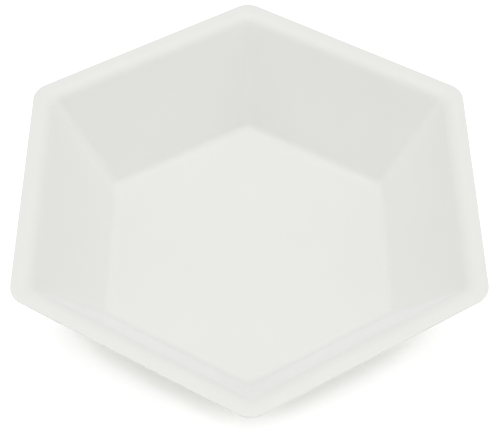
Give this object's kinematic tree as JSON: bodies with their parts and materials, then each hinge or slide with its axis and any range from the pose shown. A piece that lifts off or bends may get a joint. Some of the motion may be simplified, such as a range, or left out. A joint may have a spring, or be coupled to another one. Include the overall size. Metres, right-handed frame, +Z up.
{
  "type": "weighing boat",
  "caption": "Shallow hexagonal dish with a flat floor, sloping walls and a narrow flat brim, for weighing out powders and liquids.",
  "frame": {"origin": "centre of the floor's underside, on the surface that the boat stands on", "axes": "+Z up, out of the mouth; +X square to a flat side of the hexagon; +Y through a corner, along the longest extent"},
  "size_m": [0.08, 0.0912, 0.0192],
  "materials": {
    "polystyrene": "satin"
  },
  "bodies": {
    "root": {"weighing_boat": "polystyrene"}
  },
  "joints": []
}
